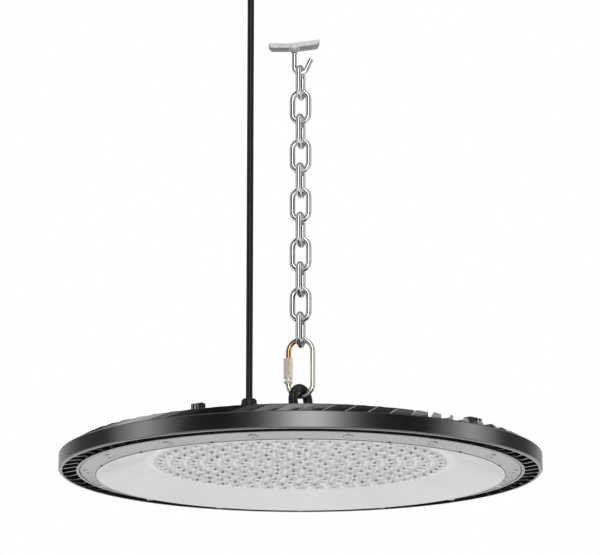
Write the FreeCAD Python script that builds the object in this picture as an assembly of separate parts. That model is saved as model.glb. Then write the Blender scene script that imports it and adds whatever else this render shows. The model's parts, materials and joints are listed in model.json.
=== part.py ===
import FreeCAD, Part
import math
import os

"""Round high bay luminaire on an eye, a quick link, a chain and a spring toggle hook.

Millimetres, +Z up. The origin is the pivot of the toggle nut, on the axis of the ceiling hole. The luminaire hangs
below it, and its own sizes count up from the plane of the rim's bottom edge. Each function makes one node.
"""

V = FreeCAD.Vector
UP = V(0, 0, 1)
ORIGIN = V(0, 0, 0)

# Clearances
REST_GAP = 0.3          # a hanging piece to what carries it
RUN_GAP = 0.1           # round a piece that turns or slides, on the radius
THREAD_GAP = 0.05       # round a screwed thread, on the radius

# Spring toggle
BARREL_R = 3.25
BARREL_HALF = 2.6       # half its length along Y
TRUNNION_R = 1.5
EAR_R = 2.8
EAR_T = 0.8
EAR_START = 5.0         # inner face of the left wing's ears from the middle
WING_LENGTH = 21.0      # pivot to tip
WING_TOP = 3.1          # web's upper face above the pivot
WING_DEPTH = 3.8
WEB_START = 4.6         # where the web begins, from the pivot
RIGHT_WING_TILT = 8.0   # degrees that the right wing stands above level
SPRING_WIRE = 0.6
SPRING_TURNS = 2
SPRING_LEG = 9.0

# Ceiling hook
HOOK_WIRE = 4.0
HOOK_DROP = 20.85       # pivot to the bowl's lowest centre
HOOK_BOWL_R = 5.0       # to the rod's centre, so it is also how far the load hangs beside the shank
HOOK_ABOVE_NUT = 0.6    # shank end above the barrel
HOOK_TIP = 10.0
HOOK_OPEN = 66.0        # degrees of bowl past its lowest point

# Chain
LINK_COUNT = 11
LINK_WIRE = 4.5
LINK_PITCH = 20.9       # inside length of a link
LINK_WIDTH = 18.0       # outside width of a link
CHAIN_YAW = -15.0       # degrees about Z that the chain is turned

# Quick link
QUICK_WIRE = 4.0
QUICK_HEIGHT = 50.0     # outside
QUICK_WIDTH = 24.0      # outside
SLEEVE_WALL = 1.3       # at the middle of a flat
SLEEVE_LIFT = 0.3       # lower end above the start of the bottom bend
SLEEVE_TRAVEL = 4.7     # up its limb, off the gate
SLEEVE_CHAMFER = 0.6
SLEEVE_NECKS = (0.9, 2.4)   # widths of the turned necks, from the lower end
SLEEVE_RING = 1.5       # width of the ring between them
SLEEVE_NECK_WALL = 0.6
GATE_GAP = 4.4
GATE_LAP = 0.3          # how far the closed sleeve reaches below the gate

# Lifting eye
EYE_WIRE = 7.6
EYE_OUTER = 28.0
EYE_YAW = 55.0          # degrees about Z of the ring's plane
EYE_COLLAR_R = 9.0
EYE_COLLAR_T = 4.15     # collar's seat to the ring's lowest point
EYE_NECK_R = 5.2
EYE_SHANK_R = 5.0
EYE_WASHER_T = 1.6
EYE_NUT_FLATS = 16.0
EYE_NUT_T = 7.0
EYE_SHANK_BELOW = 1.4   # shank end below its nut

# Rim and pan of the heat sink, heights above the rim's bottom
RIM_R = 190.0
RIM_WALL = 2.8
RIM_HEIGHT = 13.2
RIM_EDGE = 0.9
SLOT_WIDTH = 11.0       # open ring between the rim and the lens housing
HOUSING_WALL = 2.4
HOUSING_BOTTOM = 0.2
PAN_T = 5.0
BOARD_RECESS = 10.1     # board seat above the seat of the lens flange
EMBED = 0.5             # how far fins run into what they are cast on

# Swirl fins
FIN_COUNT = 69
FIN_T = 1.6
FIN_COVER_GAP = 4.0     # fins' inner ends to the driver cover's flange
FIN_SLOPE = 55.0        # width of the sloped ring of fin tops, in from the rim
FIN_HEIGHT = 10.2       # above the pan, inside that ring
FIN_ABOVE_RIM = 0.2
FIN_END = 13.0          # width of the steep outer ends of the fins, in from the rim
FIN_END_RISE = 6.8
FIN_BOTTOM_Z = 3.0
FIN_ANGLE = 48.0        # degrees from radial at the rim
FIN_BEND_R = 190.0      # radius of a fin's own curve
FIN_CHORDS = 3          # flat stretches that follow that curve

# Bosses on the fins
BOSS_COUNT = 4
BOSS_INSET = 38.0       # in from the rim
BOSS_LENGTH = 15.0
BOSS_WIDTH = 6.0
BOSS_ABOVE_FINS = 0.9   # its top above the highest part of the fins
BOSS_FIRST = -30.1      # degrees from -Y towards +X

# Lens
LENS_GAP = 0.6
LENS_EDGE_T = 2.6
LENS_FLANGE = 12.0      # width from the lip to the edge
LENS_DISH = 39.2        # width from the plate to the lip
LIP_WIDTH = 2.6
LIP_DROP = 2.8          # lip's edge below the flange's outer edge
LIP_STEP = 0.8
LENS_T = 1.4
LENS_RIB = 1.4          # flange's thick part beyond the lip
CHIP_GAP = 1.3          # LEDs to the plate under them
DOME_R = 5.2
DOME_HEIGHT = 2.6
DOME_SIDES = 6
DOME_TOP = 0.5          # flat end's radius over the dome's
DOME_RING_STEP = 13.0
DOME_MARGIN = 1.0       # outermost domes to the plate's edge, at least
DOME_TWIST = 11.0       # degrees from one ring to the next
NOTCH = (3.0, 1.6, 1.0)
LENS_SCREW_COUNT = 15
LENS_SCREW_INSET = 6.2  # in from the lens's edge
LENS_SCREW_SEAT = -0.2
GASKET_LAP = 0.2        # how far the gasket reaches in past the lip
GASKET_W = 2.6
GASKET_T = 1.2

# Screws, as (shank radius, head radius, head height)
M4 = (2.0, 3.5, 2.2)
M3 = (1.5, 2.7, 1.5)
SCREW_DEPTH = 4.0       # thread in metal
SCREW_SPARE = 0.5       # screw's end to the bottom of its hole
CROSS = (0.9, 3.4, 1.0)

# LED board
BOARD_MARGIN = 2.0      # board's edge inside the lens plate's
BOARD_T = 1.6
PAD_T = 0.5
CHIP = (3.0, 3.0, 0.8)
BOARD_SCREW_COUNT = 6
LEAD_HOLE_R = 3.0
LEAD_HOLE_AT = (0.0, 26.0)

# Driver housing
COVER_GASKET_T = 1.0
COVER_TOP_R = 58.0
COVER_FLARE = 5.7       # how much wider its wall is at the flange
COVER_FLANGE = 10.3     # width
COVER_FLANGE_T = 3.0
COVER_WALL = 3.0
COVER_SHOULDER = 3.0
COVER_BOSS_R = 11.0
COVER_BOSS_T = 5.0
COVER_SCREW_COUNT = 6
COVER_SCREW_INSET = 4.0     # in from the flange's edge

# Driver inside the housing
DRIVER_GAP = 1.0        # board's edge to the cover's wall
DRIVER_INNER_R = 14.0
DRIVER_T = 1.6
DRIVER_ROOM = 1.3       # over the tallest capacitor
STANDOFF = (3.5, 3.0)   # radius, height
STANDOFF_INSET = 7.0    # in from the board's edge
STANDOFF_COUNT = 4
CAPACITOR_R = 5.0
CAPACITORS = ((-18.0, 33.0, 22.0), (10.0, 38.0, 20.0))    # x, y, length
SMALL_CAPACITOR_R = 4.0
SMALL_CAPACITORS = ((-12.0, 21.0, 14.0),)
CAPACITOR_GROOVE = (0.8, 0.5)   # width, depth
TRANSFORMER_AT = (31.0, 6.0)
TRANSFORMER = (24.0, 24.5, 9.5)
TRANSFORMER_YOKE = 3.5
TRANSFORMER_LEG = 4.0
WINDING_INSET = 0.4
CHOKE_AT = (18.0, -30.0)
CHOKE_R = 7.0
CHOKE_WIRE_R = 3.2
CHOKE_PIN_R = 0.5
TRANSISTORS_AT = ((40.0, -18.0), (34.0, -26.0))
TRANSISTOR = (9.0, 4.4, 9.0)
TRANSISTOR_TURN = -40.0
TERMINAL_AT = (-20.0, -26.0)
TERMINAL = (20.0, 10.0, 8.0)
TERMINAL_PITCH = 6.0
TERMINAL_BORE_R = 1.6
TERMINAL_BORE_Z = 4.0
TERMINAL_SCREW = (1.8, 1.2)     # radius, depth
LEAD_R = 0.6
LEAD_PITCH = 2.4
LEAD_RUN = 7.0
CONNECTOR = (4.0, 5.0, 1.9)
MAINS_LEAD_R = 0.8
MAINS_LEAD_PITCH = 1.75
MAINS_LEAD_BEND = 3.0

# Cable gland, on the cover's top
GLAND_AT = (-40.5, -10.0)
GLAND_NECK_WALL = 1.925
GLAND_NUT_WALL = 2.2    # at the middle of a flat
GLAND_THREAD_STEP = 1.1     # thread's radius beyond the neck's
GLAND_HEX_T = 3.5
GLAND_NUT_GAP = 0.5
GLAND_NUT_HEX_T = 8.0
GLAND_NUT_DOME_T = 7.7
GLAND_NUT_EDGE = 1.0
GLAND_CAP_T = 2.4
GLAND_SEAL_T = 4.3
LOCKNUT_WALL = 1.6
LOCKNUT_T = 3.4
THREAD_SPARE = 1.0      # thread's end beyond its nut

# Supply cord and its grip at the ceiling
CORD_R = 2.675
CORD_LENGTH = 338.0
GRIP_R = 8.0
GRIP_MOUTH_WALL = 1.8
GRIP_CONE = (4.0, 7.0)  # heights where the nut's cone starts and ends
GRIP_NUT_T = 14.0
GRIP_HEX_T = 5.0
GRIP_STEM_R = 7.0
GRIP_STEM_T = 9.0

# Worked out from the sizes above
LOAD_X = HOOK_BOWL_R
LINK_BOW_R = (LINK_WIDTH - LINK_WIRE) / 2
LINK_SPAN = LINK_PITCH + LINK_WIRE
FIRST_LINK_TOP = -HOOK_DROP + (HOOK_WIRE + LINK_WIRE) / 2 + REST_GAP
LINK_STEP = LINK_SPAN - LINK_WIRE - REST_GAP
LAST_LINK_LOW = FIRST_LINK_TOP - (LINK_COUNT - 1) * LINK_STEP - LINK_SPAN
QUICK_BOW_R = (QUICK_WIDTH - QUICK_WIRE) / 2
QUICK_SPAN = QUICK_HEIGHT - QUICK_WIRE
QUICK_TOP = LAST_LINK_LOW + (LINK_WIRE + QUICK_WIRE) / 2 + REST_GAP
QUICK_LOW = QUICK_TOP - QUICK_SPAN
SLEEVE_FLATS = QUICK_WIRE + 2 * (RUN_GAP + SLEEVE_WALL)
SLEEVE_LENGTH = QUICK_SPAN - 2 * QUICK_BOW_R - SLEEVE_LIFT - SLEEVE_TRAVEL - RUN_GAP
EYE_RING_R = (EYE_OUTER - EYE_WIRE) / 2
EYE_CENTRE = QUICK_LOW + (QUICK_WIRE + EYE_WIRE) / 2 + REST_GAP - EYE_RING_R

SEAT_Z = HOUSING_BOTTOM + LENS_EDGE_T + GASKET_T
BOARD_SEAT_Z = SEAT_Z + BOARD_RECESS
PAN_TOP_Z = BOARD_SEAT_Z + PAN_T
BOARD_Z = BOARD_SEAT_Z - PAD_T - BOARD_T
PLATE_Z = BOARD_Z - CHIP[2] - CHIP_GAP - LENS_T
DRIVER_Z = PAN_TOP_Z + STANDOFF[1]
PARTS_Z = DRIVER_Z + DRIVER_T
COVER_SEAT_Z = PAN_TOP_Z + COVER_GASKET_T
COVER_TOP_Z = PARTS_Z + 2 * CAPACITOR_R + DRIVER_ROOM + COVER_WALL
EYE_ABOVE_COVER = EYE_WASHER_T + EYE_COLLAR_T + EYE_OUTER / 2
LAMP_Z = EYE_CENTRE - EYE_ABOVE_COVER - COVER_TOP_Z
FIN_SHOULDER_Z = PAN_TOP_Z + FIN_HEIGHT
FIN_OUTER_Z = RIM_HEIGHT + FIN_ABOVE_RIM
BOSS_TOP = FIN_SHOULDER_Z + BOSS_ABOVE_FINS
GLAND_TOP_Z = COVER_TOP_Z + GLAND_HEX_T + GLAND_NUT_GAP + GLAND_NUT_HEX_T + GLAND_NUT_DOME_T
SEAL_Z = GLAND_TOP_Z - GLAND_CAP_T - GLAND_SEAL_T
GRIP_Z = GLAND_TOP_Z + CORD_LENGTH

SLOT_INNER_R = RIM_R - RIM_WALL - SLOT_WIDTH
LENS_R = SLOT_INNER_R - HOUSING_WALL - LENS_GAP
LENS_SCREW_R = LENS_R - LENS_SCREW_INSET
LIP_R = LENS_R - LENS_FLANGE
GASKET_R = LIP_R - GASKET_LAP
PLATE_R = LIP_R - LENS_DISH
DISH_R = LIP_R - LIP_WIDTH
DISH_Z = HOUSING_BOTTOM - LIP_DROP - LIP_STEP
DOME_RINGS = int((PLATE_R - DOME_R - DOME_MARGIN) / DOME_RING_STEP + 0.5)
BOARD_SEAT_R = PLATE_R + (DISH_R - PLATE_R) * (PLATE_Z + LENS_T + LENS_GAP - SEAT_Z) / (PLATE_Z - DISH_Z)
BOARD_R = PLATE_R - BOARD_MARGIN
BOARD_SCREW_R = (DOME_RINGS - 1) * DOME_RING_STEP
COVER_BASE_R = COVER_TOP_R + COVER_FLARE
COVER_FLANGE_R = COVER_BASE_R + COVER_FLANGE
COVER_SCREW_R = COVER_FLANGE_R - COVER_SCREW_INSET
DRIVER_OUTER_R = COVER_TOP_R - COVER_WALL - DRIVER_GAP
STANDOFF_R = DRIVER_OUTER_R - STANDOFF_INSET
FIN_INNER_R = COVER_FLANGE_R + FIN_COVER_GAP
FIN_SHOULDER_R = RIM_R - FIN_SLOPE
BOSS_CIRCLE_R = RIM_R - BOSS_INSET
GLAND_BORE_R = CORD_R + 2 * RUN_GAP
GLAND_NECK_R = GLAND_BORE_R + GLAND_NECK_WALL
GLAND_THREAD_R = GLAND_NECK_R + GLAND_THREAD_STEP
GLAND_FLATS = 2 * (GLAND_NECK_R + GLAND_NUT_WALL)
LOCKNUT_FLATS = 2 * (GLAND_THREAD_R + LOCKNUT_WALL)


def cylinder(radius, height, x=0.0, y=0.0, z=0.0, axis=UP):
    return Part.makeCylinder(radius, height, V(x, y, z), axis)


def block(size, x, y, z):
    """A block centred on x and y, with its underside at z."""
    return Part.makeBox(*size, V(x - size[0] / 2, y - size[1] / 2, z))


def closed(points):
    return Part.makePolygon(points + points[:1])


def turned(points):
    """The solid that a closed outline of (radius, height) points sweeps about Z."""
    return Part.Face(closed([V(r, 0, z) for r, z in points])).revolve(ORIGIN, UP, 360)


def hexagon(flats, height, x=0.0, y=0.0, z=0.0):
    reach = flats / math.sqrt(3)
    corners = [V(reach * math.cos(k * math.pi / 3), reach * math.sin(k * math.pi / 3), 0) for k in range(6)]
    prism = Part.Face(closed(corners)).extrude(V(0, 0, height))
    prism.translate(V(x, y, z))
    return prism


def turn(shape, degrees, centre=ORIGIN, axis=UP):
    copy = shape.copy()
    copy.rotate(centre, axis, degrees)
    return copy


def move(shape, x=0.0, y=0.0, z=0.0):
    copy = shape.copy()
    copy.translate(V(x, y, z))
    return copy


def fuse(shapes):
    return shapes[0].multiFuse(shapes[1:]).removeSplitter()


def group(shapes):
    return Part.makeCompound(shapes)


def on_circle(radius, count, first=0.0):
    """Evenly spaced (x, y) places on a circle, counted from -Y towards +X."""
    angles = [math.radians(first + 360 * k / count) for k in range(count)]
    return [(radius * math.sin(a), -radius * math.cos(a)) for a in angles]


def rod(edges, radius):
    """A round rod along edges that meet smoothly."""
    path = Part.Wire(edges)
    start = path.Edges[0]
    direction = start.tangentAt(start.FirstParameter)
    end = Part.Face(Part.Wire(Part.Circle(start.valueAt(start.FirstParameter), direction, radius).toShape()))
    return path.makePipe(end)


def line(a, b):
    return Part.LineSegment(V(*a), V(*b)).toShape()


def arc(a, through, b):
    return Part.Arc(V(*a), V(*through), V(*b)).toShape()


def bow(radius, middle, angle):
    """Point of a bow in the XZ plane, at an angle in degrees from straight down towards +X."""
    a = math.radians(angle)
    return (middle[0] + radius * math.sin(a), 0, middle[1] - radius * math.cos(a))


def screw(kind, length):
    """A cross-recessed pan head below z = 0 with its shank above it."""
    shank_r, head_r, head_h = kind
    shape = turned([(0, -head_h), (head_r * 0.7, -head_h), (head_r, -head_h * 0.5), (head_r, 0), (shank_r, 0),
                    (shank_r, length), (0, length)])
    recess = block(CROSS, 0, 0, -head_h)
    return shape.cut([recess, turn(recess, 90)])


def upside_down(shape):
    return turn(shape, 180, axis=V(1, 0, 0))


# Ceiling fixing


def toggle_nut():
    along = V(0, 1, 0)
    reach = EAR_START + 2 * EAR_T + 3 * RUN_GAP
    barrel = cylinder(BARREL_R, 2 * BARREL_HALF, y=-BARREL_HALF, axis=along)
    trunnions = cylinder(TRUNNION_R, 2 * reach, y=-reach, axis=along)
    heads = [cylinder(TRUNNION_R + 0.7, EAR_T, y=y, axis=along) for y in (reach, -reach - EAR_T)]
    hole = cylinder(HOOK_WIRE / 2 + THREAD_GAP, 2 * BARREL_R, z=-BARREL_R)
    return fuse([barrel, trunnions] + heads).cut(hole)


def wing(ear_start):
    """A wing that points to +X, a channel open below with an ear at each side of the pivot."""
    low = WING_TOP - WING_DEPTH
    half = ear_start + EAR_T
    web = Part.makeBox(WING_LENGTH - WEB_START, 2 * half, EAR_T, V(WEB_START, -half, WING_TOP - EAR_T))
    parts = [web]
    for y in (ear_start, -half):
        outline = [(0, low), (WING_LENGTH - WING_DEPTH * 0.6, low), (WING_LENGTH, WING_TOP - EAR_T)]
        outline += [(WING_LENGTH, WING_TOP), (0, WING_TOP)]
        parts.append(Part.Face(closed([V(x, y, z) for x, z in outline])).extrude(V(0, EAR_T, 0)))
        parts.append(cylinder(EAR_R, EAR_T, y=y, axis=V(0, 1, 0)))
    pivot = cylinder(TRUNNION_R + RUN_GAP, 2 * half, y=-half, axis=V(0, 1, 0))
    return fuse(parts).cut(pivot)


def toggle_wing_left():
    return turn(wing(EAR_START), 180)


def toggle_wing_right():
    shape = wing(EAR_START + EAR_T + RUN_GAP)
    return turn(shape, -RIGHT_WING_TILT, axis=V(0, 1, 0))


def toggle_spring():
    """Torsion spring round the -Y trunnion, with a leg under each wing's web."""
    coil_r = TRUNNION_R + RUN_GAP + SPRING_WIRE / 2
    pitch = SPRING_WIRE + RUN_GAP
    height = pitch * SPRING_TURNS
    end = Part.Wire(Part.Circle(V(coil_r, 0, 0), V(0, 1, 0), SPRING_WIRE / 2).toShape())
    coil = Part.Wire(Part.makeHelix(pitch, height, coil_r).Edges).makePipeShell([end], True, True)
    leg = cylinder(SPRING_WIRE / 2, SPRING_LEG, coil_r, axis=V(0, -1, 0))
    other = cylinder(SPRING_WIRE / 2, SPRING_LEG, coil_r, z=height, axis=V(0, 1, 0))
    leg = turn(leg, RIGHT_WING_TILT)
    spring = turn(fuse([coil, leg, other]), 240, axis=V(1, 1, 1))
    return turn(move(spring, y=BARREL_HALF + RUN_GAP + SPRING_WIRE / 2), 180)


def ceiling_hook():
    middle = (HOOK_BOWL_R, -HOOK_DROP + HOOK_BOWL_R)
    end = bow(HOOK_BOWL_R, middle, HOOK_OPEN)
    lean = math.radians(90 - HOOK_OPEN)
    tip = (end[0] + HOOK_TIP * math.sin(lean), 0, end[2] + HOOK_TIP * math.cos(lean))
    start = (0, 0, BARREL_R + HOOK_ABOVE_NUT)
    turn_in = (0, 0, middle[1])
    edges = [line(start, turn_in), arc(turn_in, bow(HOOK_BOWL_R, middle, -10), end), line(end, tip)]
    return rod(edges, HOOK_WIRE / 2)


# Chain and quick link


def chain_link(index):
    """Link number index from the top. Odd ones stand edge-on to -Y and even ones face it."""
    top = FIRST_LINK_TOP - index * LINK_STEP
    high, low = top - LINK_BOW_R, top - LINK_SPAN + LINK_BOW_R
    radius = LINK_WIRE / 2
    parts = []
    for middle, face_turn in ((high, 0), (low, 180)):
        ring = Part.makeTorus(LINK_BOW_R, radius, ORIGIN, V(0, 0, 1), -180, 180, 180)
        ring = turn(ring, 90, axis=V(1, 0, 0))
        parts.append(move(turn(ring, face_turn, axis=V(0, 1, 0)), z=middle))
    for x in (-LINK_BOW_R, LINK_BOW_R):
        parts.append(cylinder(radius, high - low, x=x, z=low))
    yaw = CHAIN_YAW + (90 if index % 2 == 0 else 0)
    return move(turn(fuse(parts), yaw), x=LOAD_X)


def quick_link_body():
    high, low = QUICK_TOP - QUICK_BOW_R, QUICK_LOW + QUICK_BOW_R
    gate_low = low + SLEEVE_LIFT + GATE_LAP
    left, right = -QUICK_BOW_R, QUICK_BOW_R
    edges = [
        line((left, 0, gate_low), (left, 0, low)),
        arc((left, 0, low), (0, 0, QUICK_LOW), (right, 0, low)),
        line((right, 0, low), (right, 0, high)),
        arc((right, 0, high), (0, 0, QUICK_TOP), (left, 0, high)),
        line((left, 0, high), (left, 0, gate_low + GATE_GAP)),
    ]
    return move(turn(rod(edges, QUICK_WIRE / 2), CHAIN_YAW), x=LOAD_X)


def quick_link_sleeve():
    """Hexagon nut with two necks turned round its lower end and a ring between them."""
    bore_r = QUICK_WIRE / 2 + RUN_GAP
    neck_r = bore_r + SLEEVE_NECK_WALL
    edge = SLEEVE_FLATS / math.sqrt(3)
    ring_low, neck_high = SLEEVE_NECKS[0], sum(SLEEVE_NECKS) + SLEEVE_RING
    ring_high = ring_low + SLEEVE_RING
    shape = turned([
        (bore_r, 0), (neck_r, 0), (neck_r, ring_low), (edge, ring_low), (edge, ring_high), (neck_r, ring_high),
        (neck_r, neck_high), (edge, neck_high), (edge, SLEEVE_LENGTH - SLEEVE_CHAMFER),
        (edge - SLEEVE_CHAMFER, SLEEVE_LENGTH), (bore_r, SLEEVE_LENGTH)])
    shape = shape.common(hexagon(SLEEVE_FLATS, SLEEVE_LENGTH))
    shape = move(shape, x=-QUICK_BOW_R, z=QUICK_LOW + QUICK_BOW_R + SLEEVE_LIFT)
    return move(turn(shape, CHAIN_YAW), x=LOAD_X)


# Luminaire, each in its own heights above the rim's bottom edge


def lifting_eye():
    a = math.radians(EYE_YAW)
    centre = COVER_TOP_Z + EYE_ABOVE_COVER
    ring = Part.makeTorus(EYE_RING_R, EYE_WIRE / 2, V(0, 0, centre), V(-math.sin(a), math.cos(a), 0))
    seat = COVER_TOP_Z + EYE_WASHER_T
    ring_low = centre - EYE_OUTER / 2
    collar = turned([(0, seat), (EYE_COLLAR_R, seat), (EYE_COLLAR_R, ring_low - 1.0),
                     (EYE_NECK_R + 1.5, ring_low + 1.0), (EYE_NECK_R, ring_low + EYE_WIRE / 2), (0, ring_low + 4.0)])
    low = COVER_TOP_Z - COVER_WALL - COVER_BOSS_T - EYE_NUT_T - EYE_SHANK_BELOW
    shank = cylinder(EYE_SHANK_R, seat - low, z=low)
    return fuse([ring, collar, shank])


def eye_washer():
    disc = cylinder(EYE_COLLAR_R + 0.8, EYE_WASHER_T, z=COVER_TOP_Z)
    return disc.cut(cylinder(EYE_SHANK_R + RUN_GAP, EYE_WASHER_T, z=COVER_TOP_Z))


def eye_lock_nut():
    low = COVER_TOP_Z - COVER_WALL - COVER_BOSS_T - EYE_NUT_T
    nut = hexagon(EYE_NUT_FLATS, EYE_NUT_T, z=low)
    return nut.cut(cylinder(EYE_SHANK_R + THREAD_GAP, EYE_NUT_T, z=low))


def on_fin(offset, ring):
    """Point at the radius ring on the side of a fin that is offset from the fin's middle line."""
    lean = math.radians(FIN_ANGLE)
    start_r = RIM_R - RIM_WALL
    centre = V(-FIN_BEND_R * math.cos(lean), FIN_BEND_R * math.sin(lean) - start_r, 0)
    bend, reach = FIN_BEND_R + offset, centre.Length
    along = (reach ** 2 + ring ** 2 - bend ** 2) / (2 * reach)
    across = math.sqrt(ring ** 2 - along ** 2)
    out = centre / reach
    return V(along * out.x - across * out.y, along * out.y + across * out.x, 0)


def fin_gap(outer_r, inner_r):
    """Outline of the space between two neighbouring fins, seen from above."""
    rings = [outer_r + (inner_r - outer_r) * k / FIN_CHORDS for k in range(FIN_CHORDS + 1)]
    step = FreeCAD.Rotation(UP, 360 / FIN_COUNT)
    near = [on_fin(FIN_T / 2, r) for r in rings]
    far = [step.multVec(on_fin(-FIN_T / 2, r)) for r in reversed(rings)]
    return closed(near + far)


def pan_profile():
    outer, step = SLOT_INNER_R, BOARD_SEAT_R + PAN_T
    inner = outer - HOUSING_WALL
    return [
        (0, BOARD_SEAT_Z), (BOARD_SEAT_R, BOARD_SEAT_Z), (BOARD_SEAT_R, SEAT_Z), (inner, SEAT_Z),
        (inner, HOUSING_BOTTOM), (outer, HOUSING_BOTTOM), (outer, SEAT_Z + PAN_T), (step, SEAT_Z + PAN_T),
        (step, PAN_TOP_Z), (0, PAN_TOP_Z)]


def circle(radius, z=0.0):
    return Part.Wire(Part.Circle(V(0, 0, z), UP, radius).toShape())


def fin_slope_cutter(outer):
    """What lies above one fin's top edge, which falls from the shoulder and then steeply to the rim."""
    start, end = on_fin(0, FIN_SHOULDER_R), on_fin(0, outer)
    run = end - start
    past = run.Length + FIN_T
    knee = (on_fin(0, RIM_R - FIN_END) - start).dot(run) / run.Length
    knee_z = FIN_OUTER_Z + FIN_END_RISE
    past_z = knee_z - FIN_END_RISE * (past - knee) / (run.Length - knee)
    half = FIN_T * 2.5
    points = [V(0, -half, FIN_SHOULDER_Z), V(knee, -half, knee_z), V(past, -half, past_z),
              V(past, -half, FIN_SHOULDER_Z + 1), V(0, -half, FIN_SHOULDER_Z + 1)]
    wedge = Part.Face(closed(points)).extrude(V(0, 2 * half, 0))
    bow = on_fin(0, (FIN_SHOULDER_R + outer) / 2) - (start + end) / 2
    bearing = math.degrees(math.atan2(run.y, run.x))
    return move(turn(wedge, bearing), start.x + bow.x / 2, start.y + bow.y / 2)


def fins():
    outer = RIM_R - RIM_WALL / 2
    slot, step = SLOT_INNER_R - EMBED, BOARD_SEAT_R + PAN_T - EMBED
    high, low = PAN_TOP_Z - EMBED, SEAT_Z + PAN_T - EMBED
    envelope = turned([
        (FIN_INNER_R, high), (step, high), (step, low), (slot, low), (slot, FIN_BOTTOM_Z), (outer, FIN_BOTTOM_Z),
        (outer, FIN_SHOULDER_Z), (FIN_INNER_R, FIN_SHOULDER_Z)])
    gap = fin_gap(outer + 1.0, FIN_INNER_R - 1.0)
    gaps = [turn(gap, 360 * k / FIN_COUNT) for k in range(FIN_COUNT)]
    plan = Part.Face([circle(outer + 2.0), circle(FIN_INNER_R - 2.0)] + gaps)
    blades = plan.extrude(V(0, 0, FIN_SHOULDER_Z)).common(envelope)
    cutter = fin_slope_cutter(outer)
    return blades.cut([turn(cutter, 360 * k / FIN_COUNT) for k in range(FIN_COUNT)])


def boss():
    """A short rib with round ends that points away from the axis, its top sloped like the fins'."""
    half = (BOSS_LENGTH - BOSS_WIDTH) / 2
    low = SEAT_Z + PAN_T - EMBED
    y = -BOSS_CIRCLE_R
    parts = [cylinder(BOSS_WIDTH / 2, BOSS_TOP - low, y=y + s * half, z=low) for s in (-1, 1)]
    parts.append(block((BOSS_WIDTH, 2 * half, BOSS_TOP - low), 0, y, low))
    fall = BOSS_LENGTH * (FIN_SHOULDER_Z - FIN_OUTER_Z) / FIN_SLOPE
    points = [V(-BOSS_WIDTH, y - BOSS_LENGTH, BOSS_TOP - fall), V(-BOSS_WIDTH, y + BOSS_LENGTH, BOSS_TOP + fall),
              V(-BOSS_WIDTH, y - BOSS_LENGTH, BOSS_TOP + fall)]
    return fuse(parts).cut(Part.Face(closed(points)).extrude(V(2 * BOSS_WIDTH, 0, 0)))


def rim():
    inner = RIM_R - RIM_WALL
    soft = RIM_R - RIM_EDGE
    return turned([(inner, 0), (soft, 0), (RIM_R, RIM_EDGE), (RIM_R, RIM_HEIGHT - RIM_EDGE), (soft, RIM_HEIGHT),
                   (inner, RIM_HEIGHT)])


def heat_sink():
    bosses = [turn(boss(), BOSS_FIRST + 360 * k / BOSS_COUNT) for k in range(BOSS_COUNT)]
    casting = fuse([turned(pan_profile()), rim(), fins()] + bosses)
    holes = [cylinder(LEAD_HOLE_R, PAN_T, *LEAD_HOLE_AT, BOARD_SEAT_Z)]
    for x, y in on_circle(BOARD_SCREW_R, BOARD_SCREW_COUNT):
        holes.append(cylinder(M3[0] + THREAD_GAP, SCREW_DEPTH, x, y, BOARD_SEAT_Z))
    for x, y in lens_screw_places():
        holes.append(cylinder(M4[0] + THREAD_GAP, SCREW_DEPTH, x, y, SEAT_Z))
    for x, y in on_circle(COVER_SCREW_R, COVER_SCREW_COUNT):
        holes.append(cylinder(M4[0] + THREAD_GAP, SCREW_DEPTH, x, y, PAN_TOP_Z - SCREW_DEPTH))
    for x, y in standoff_places():
        holes.append(cylinder(M3[0] + THREAD_GAP, SCREW_DEPTH, x, y, PAN_TOP_Z - SCREW_DEPTH))
    return casting.cut(holes)


def lens_screw_places():
    return on_circle(LENS_SCREW_R, LENS_SCREW_COUNT, 180 / LENS_SCREW_COUNT)


def chip_places():
    """Rings of places a constant step apart, each ring with six more than the one inside it."""
    places = []
    for ring in range(DOME_RINGS):
        radius = DOME_RING_STEP * (ring + 0.5)
        places += on_circle(radius, 3 + 6 * ring, DOME_TWIST * ring)
    return places


def lens():
    low, lip_z = DISH_Z, DISH_Z + LIP_STEP
    top_z = HOUSING_BOTTOM + LENS_EDGE_T
    body = turned([
        (PLATE_R, PLATE_Z), (DISH_R, low), (LIP_R - LIP_STEP, low), (LIP_R, lip_z), (LENS_R, HOUSING_BOTTOM),
        (LENS_R, top_z), (DISH_R + LENS_RIB, top_z), (DISH_R, low + LENS_T), (PLATE_R, PLATE_Z + LENS_T)])
    cuts = []
    for x, y in lens_screw_places():
        cuts.append(cylinder(M4[0] + 2 * RUN_GAP, top_z - low, x, y, low))
        cuts.append(cylinder(M4[1] + 3 * RUN_GAP, LENS_SCREW_SEAT - low, x, y, low))
    notch = block(NOTCH, 0, -LIP_R, lip_z - RUN_GAP)
    cuts += [turn(notch, 360 * k / LENS_SCREW_COUNT) for k in range(LENS_SCREW_COUNT)]
    return body.cut(cuts).fuse(domed_plate(PLATE_R))


def polygon(radius, z):
    steps = [2 * math.pi * k / DOME_SIDES for k in range(DOME_SIDES)]
    return [V(radius * math.cos(a), radius * math.sin(a), z) for a in steps]


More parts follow.
